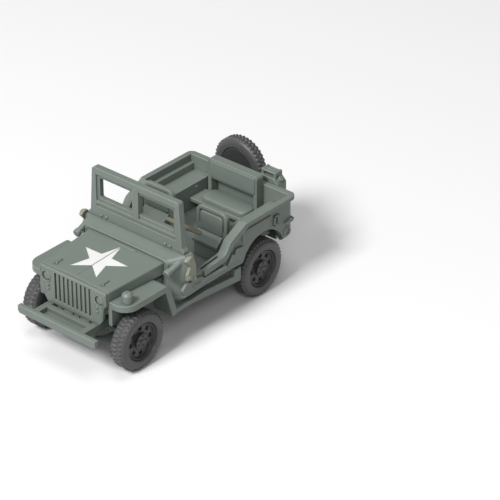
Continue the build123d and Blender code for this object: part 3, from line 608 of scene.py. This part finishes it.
def hoodLines():
    look = hoodLook
    bm = bmesh.new()
    half, (front, rear) = look["stripHalf"], look["strip"]
    z = hoodTop(half, front)
    softBox(bm, (-half, front, z - look["stripSink"]), (half, rear, z + look["stripRise"]))

    front, rear = look["block"]
    shapes = ((look["blockHalf"], rear), (look["footHalf"], front + look["footLength"]))
    for side in (-1, 1):
        x = side * look["blockX"]
        z = hoodTop(x, rear)
        for half, end in shapes:
            softBox(bm, (x - half, front, z - look["blockSink"]), (x + half, end, z + look["blockRise"]))

    crease = [spot(0, y, hoodTop(0, y)) for y in look["crease"]]
    tube(bm, crease, look["creaseRadius"], look["creaseSides"])

    corner, behind = look["beadCorner"], look["beadBehind"]
    path = [spot(-look["beadHalf"], behind, look["beadFoot"])]
    for side, start in ((-1, 180), (1, 90)):  # over each upper corner, right then left
        centre = spot(side * (look["beadHalf"] - corner), behind, look["beadTop"] - corner)
        path += circle(centre, corner, axisX, axisZ, look["beadSteps"], start, -90)
    path.append(spot(look["beadHalf"], behind, look["beadFoot"]))
    tube(bm, path, look["beadRadius"])
    return finishMesh(bm, "hoodLines")


addPiece("hoodLines", hoodLines(), "car", "body_plastic")

# grille: lamp rims, the edge line round each lamp, the posts below, and the bottom of the slots
grilleLook = {
    "face": -6.2,
    "lampX": 8.4,
    "lampZ": 18.3,
    "lampRadius": 1.36,
    "lampBead": 0.17,
    "edge": ((6.5, 20.55), (9.7, 20.5), (10.15, 20.1), (10.12, 17.6), (9.35, 16.8), (8.95, 13.6)),
    "edgeRadius": 0.13,
    "edgeSides": 6,
    "posts": (1.0, 4.4),
    "postHalf": 0.42,
    "postReach": (-6.0, -5.3),
    "postZ": (9.9, 12.2),
    "panelHalf": 6.0,
    "panelReach": (-5.4, -4.9),
    "backHalf": 5.6,
    "backReach": (-5.75, -5.3),
    "backZ": (12.7, 20.5),
}


def grilleLines():
    look = grilleLook
    bm = bmesh.new()
    half, (front, rear), (foot, head) = look["postHalf"], look["postReach"], look["postZ"]
    for side in (-1, 1):
        lamp = spot(side * look["lampX"], look["face"], look["lampZ"])
        tube(bm, circle(lamp, look["lampRadius"], axisX, axisZ), look["lampBead"], closed=True)
        edge = [spot(side * x, look["face"], z) for x, z in look["edge"]]
        tube(bm, edge, look["edgeRadius"], look["edgeSides"])
        for x in look["posts"]:
            softBox(bm, (side * x - half, front, foot), (side * x + half, rear, head))
    plates = (
        (look["panelHalf"], look["panelReach"], look["postZ"]),  # low panel that the posts stand on
        (look["backHalf"], look["backReach"], look["backZ"]),  # bottom of the moulded slots
    )
    for half, (front, rear), (foot, head) in plates:
        softBox(bm, (-half, front, foot), (half, rear, head))
    return finishMesh(bm, "grilleLines")


addPiece("grilleLines", grilleLines(), "car", "body_plastic")

# round bosses: windscreen hinges, marker lamps, pin on the rear panel and rivets on the wheel boxes
bossSets = {
    "screenBosses": {
        "radius": 0.45, "spots": bothSides([(x, 15.3, 24.1) for x in (9.3, 10.85)])},
    "markerLamps": {
        "radius": 0.40, "spots": bothSides([(7.75, grilleLook["face"], z) for z in (16.35, 15.25)])},
    "panelPin": {
        "radius": 0.40, "spots": [(-4.1, 52.0, 20.0)]},
    "boxRivets": {
        "radius": 0.28, "spots": bothSides([(9.8, 47.5, 18.4)])},
}
for name, look in bossSets.items():
    values = {"Radius": look["radius"] * mm, "Finish": finish["bodyPlastic"]}
    mesh = grow(studs, [spot(*place) for place in look["spots"]], values)
    smooth(mesh)
    addPiece(name, mesh, "car", "body_plastic")
print("front dressed")

# fittings on each rear quarter: strap loop, grab handle and reflector
quarterLook = {
    "face": 16.25,
    "loopY": (45.8, 47.7),
    "loopZ": (17.8, 20.6),
    "loopBar": 0.55,
    "loopRise": 0.42,
    "loopSink": 0.2,
    "handle": (
        (15.9, 50.1, 16.75), (16.75, 50.35, 16.8), (16.85, 51.0, 16.9),
        (16.85, 52.2, 17.05), (16.6, 52.8, 17.1), (15.4, 53.0, 17.15)),
    "handleRadius": 0.30,
    "reflector": (50.95, 14.15),
    "reflectorRadius": 1.0,
    "reflectorBead": 0.32,
}


def quarterFittings():
    look = quarterLook
    bm = bmesh.new()
    (front, rear), (foot, head), bar = look["loopY"], look["loopZ"], look["loopBar"]
    bars = (  # a plain closed loop
        (front, front + bar, foot, head),
        (rear - bar, rear, foot, head),
        (front, rear, head - bar, head),
        (front, rear, foot, foot + bar),
    )
    y, z = look["reflector"]
    for side in (-1, 1):
        inner, outer = look["face"] - look["loopSink"], look["face"] + look["loopRise"]
        x0, x1 = sorted((side * inner, side * outer))
        for y0, y1, z0, z1 in bars:
            softBox(bm, (x0, y0, z0), (x1, y1, z1))
        tube(bm, [spot(side * px, py, pz) for px, py, pz in look["handle"]], look["handleRadius"])
        ring = circle(spot(side * look["face"], y, z), look["reflectorRadius"], axisY, axisZ)
        tube(bm, ring, look["reflectorBead"], closed=True)
    return finishMesh(bm, "quarterFittings")


addPiece("quarterFittings", quarterFittings(), "car", "body_plastic")

# straps and rib of the tools on the left side
toolLook = {
    "handleX": 16.8,
    "handleZ": 15.0,
    "straps": (22.0, 25.6),
    "strapRing": 0.42,
    "strapRadius": 0.12,
    "strapSteps": 24,
    "strapSides": 6,
    "rib": (16.4, 20.2),
    "ribX": 16.95,
    "ribRadius": 0.28,
}


def toolLines():
    look = toolLook
    bm = bmesh.new()
    for behind in look["straps"]:
        centre = spot(look["handleX"], behind, look["handleZ"])
        ring = circle(centre, look["strapRing"], axisX, axisZ, look["strapSteps"])
        tube(bm, ring, look["strapRadius"], look["strapSides"], closed=True)
    tube(bm, [spot(look["ribX"], y, look["handleZ"]) for y in look["rib"]], look["ribRadius"])
    return finishMesh(bm, "toolLines")


addPiece("toolLines", toolLines(), "car", "body_plastic")

# hard moulded pads of the bench and the seat backs
padLook = {
    "bench": {
        "feet": [(0, 48.2, 16.35)], "facing": axisZ,
        "half": (7.0, 2.65), "corner": 1.7, "rise": 1.38, "round": 0.5},
    "benchBack": {
        "feet": [(0, 50.1, 23.65)], "facing": -axisY,
        "half": (7.25, 2.3), "corner": 0.6, "rise": 0.75, "round": 0.3},
    "seatBacks": {
        "feet": [(x, 32.75, 21.6) for x in (8.55, -8.55)], "facing": -axisY,
        "half": (3.55, 2.7), "corner": 1.1, "rise": 0.7, "round": 0.35},
}
padSteps = {"edge": 4, "corner": 6}
padCorners = ((1, 1, 0), (-1, 1, 90), (-1, -1, 180), (1, -1, 270))  # side, end, angle where it starts


def roundPad(bm, look, place):
    wide, deep = look["half"]
    corner, curve = look["corner"], look["round"]
    levels = [(0.0, 0.0)]  # inset, height
    for k in range(padSteps["edge"] + 1):
        turn = math.pi / 2 * k / padSteps["edge"]
        levels.append((curve * (1 - math.cos(turn)), look["rise"] - curve * (1 - math.sin(turn))))
    rings = []
    for inset, height in levels:
        points = []
        for side, end, start in padCorners:
            centre = Vector((side * (wide - corner), end * (deep - corner), height)) * mm
            points += circle(centre, corner - inset, axisX, axisY, padSteps["corner"], start, 90)
        rings.append([bm.verts.new(place @ point) for point in points])
    skin(bm, rings, ends=True)


def seatPads():
    bm = bmesh.new()
    for look in padLook.values():
        for foot in look["feet"]:
            roundPad(bm, look, placeFacing(spot(*foot), axisX, look["facing"]))
    return finishMesh(bm, "seatPads", meshing["sharpSoft"])


addPiece("seatPads", seatPads(), "car", "body_plastic")

# steering wheel with a round, thick rim
steerLook = {
    "tilt": 38.0,  # of the wheel's plane from level
    "ring": 4.02,
    "ringSteps": 56,
    "rim": 0.58,
    "rimSides": 12,
    "spokes": (90, 210, 330),
    "spoke": 0.32,
    "hub": ((0.0, -0.5), (0.9, -0.5), (1.0, 0.1), (0.8, 0.5), (0.0, 0.62)),
    "hubSteps": 20,
}


def steeringMesh(centre):
    look = steerLook
    bm = bmesh.new()
    ring = circle(Vector(), look["ring"], axisX, axisY, look["ringSteps"])
    tube(bm, ring, look["rim"], look["rimSides"], closed=True)
    for turn in look["spokes"]:
        end = circle(Vector(), look["ring"], axisX, axisY, 1, turn, 0)[0]
        tube(bm, [Vector(), end], look["spoke"])
    lathe(bm, look["hub"], look["hubSteps"], loop=False)
    tilt = Matrix.Rotation(math.radians(-look["tilt"]), 4, "X")
    bmesh.ops.transform(bm, verts=bm.verts, matrix=Matrix.Translation(centre) @ tilt)
    return finishMesh(bm, "steering", meshing["sharpSoft"])


steerMesh = steeringMesh(boxCentre("steering_wheel"))
steering = addPiece("steeringRing", steerMesh, "car", "body_plastic", "olivePlastic")
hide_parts("steering_wheel")

# pressed cross on the back of the jerrycan
canLook = {
    "x": (5.6, 10.0),
    "z": (17.9, 23.0),
    "face": 57.2,
    "width": 0.5,
    "rise": 0.16,
    "sink": 0.2,
    "round": 0.1,
}


def canCross():
    look = canLook
    bm = bmesh.new()
    (x0, x1), (z0, z1) = look["x"], look["z"]
    middle = spot((x0 + x1) / 2, look["face"], (z0 + z1) / 2)
    long, thin = math.hypot(x1 - x0, z1 - z0) / 2, look["width"] / 2
    lean = math.atan2(z1 - z0, x1 - x0)
    for side in (-1, 1):
        place = Matrix.Translation(middle) @ Matrix.Rotation(side * lean, 4, "Y")
        softBox(bm, (-long, -look["sink"], -thin), (long, look["rise"], thin), look["round"], place)
    return finishMesh(bm, "canCross")


addPiece("canCross", canCross(), "car", "body_plastic")
print("fittings added")

# what the floor, sky, lamps and camera are set to
studio = {
    "floorSize": 6.0,
    "floorRough": 0.9,
    "floorWhite": 0.90,  # as the camera sees it
    "floorBounce": 0.35,  # as it lights the car
    "skyWhite": 1.0,  # as the camera sees it
    "skyLevel": 0.20,  # as it lights the car
    "lamps": {
        "keyLamp": {"place": (-0.02, -0.86, 0.90), "size": 0.4, "power": 14.0},
        "fillLamp": {"place": (0.75, -0.70, 0.85), "size": 0.5, "power": 3.2},
        "topLamp": {"place": (0.0, 0.05, 1.2), "size": 0.6, "power": 3.0},
    },
    "cameraTurn": 40.65,  # degrees round from straight ahead
    "cameraRise": 31.02,
    "cameraReach": 611.94 * mm,
    "cameraAim": (10.76 * mm, 20.45 * mm, 10.0 * mm),
    "lens": 182.8,
    "sensor": 36.0,
    "clip": (0.01, 20.0),
}


# 1 where a ray is one of these two kinds
def seenBy(tree, rays):
    path = tree.nodes.new("ShaderNodeLightPath")
    seen = tree.nodes.new("ShaderNodeMath")
    seen.operation = "MAXIMUM"
    for i, ray in enumerate(rays):
        tree.links.new(path.outputs[ray], seen.inputs[i])
    return seen.outputs["Value"]


def makeFloor():
    mat, tree, shader = newMaterial("paleFloor")
    shader.inputs["Roughness"].default_value = studio["floorRough"]
    shader.inputs["Specular IOR Level"].default_value = 0.0
    paper = colourMix(tree)
    paper.inputs["A"].default_value = shade((1, 1, 1), studio["floorBounce"])
    paper.inputs["B"].default_value = shade((1, 1, 1), studio["floorWhite"])
    tree.links.new(seenBy(tree, ("Is Camera Ray", "Is Glossy Ray")), paper.inputs["Factor"])
    tree.links.new(paper.outputs["Result"], shader.inputs["Base Color"])

    half = studio["floorSize"] / 2
    corners = [(-half, -half, 0), (half, -half, 0), (half, half, 0), (-half, half, 0)]
    mesh = bpy.data.meshes.new("floor")
    mesh.from_pydata(corners, [], [(0, 1, 2, 3)])
    mesh.materials.append(mat)
    floor = addToScene("floor", mesh)


def makeSky():
    world = bpy.data.worlds.new("studioSky")
    bpy.context.scene.world = world
    world.use_nodes = True
    tree = world.node_tree
    sky = tree.nodes["Background"]
    sky.inputs["Color"].default_value = (1, 1, 1, 1)
    level = tree.nodes.new("ShaderNodeMapRange")
    level.inputs["To Min"].default_value = studio["skyLevel"]
    level.inputs["To Max"].default_value = studio["skyWhite"]
    tree.links.new(seenBy(tree, ("Is Camera Ray", "Is Transmission Ray")), level.inputs["Value"])
    tree.links.new(level.outputs["Result"], sky.inputs["Strength"])


def makeLamps():
    for name, lamp in studio["lamps"].items():
        light = bpy.data.lights.new(name, "AREA")
        light.shape = "DISK"
        light.size = lamp["size"]
        light.energy = lamp["power"]
        holder = addToScene(name, light)
        holder.location = lamp["place"]
        holder.rotation_euler = (-Vector(lamp["place"])).to_track_quat("-Z", "Y").to_euler()


def makeCamera():
    turn, rise = math.radians(studio["cameraTurn"]), math.radians(studio["cameraRise"])
    back = Vector((math.sin(turn) * math.cos(rise), -math.cos(turn) * math.cos(rise), math.sin(rise)))
    eye = addToScene("camera", bpy.data.cameras.new("camera"))
    eye.data.sensor_width = studio["sensor"]
    eye.data.lens = studio["lens"]
    eye.data.clip_start, eye.data.clip_end = studio["clip"]
    eye.location = Vector(studio["cameraAim"]) + back * studio["cameraReach"]
    eye.rotation_euler = (-back).to_track_quat("-Z", "Y").to_euler()
    bpy.context.scene.camera = eye
    bpy.context.scene.view_settings.view_transform = "Standard"


makeFloor()
makeSky()
makeLamps()
makeCamera()
print("studio ready")
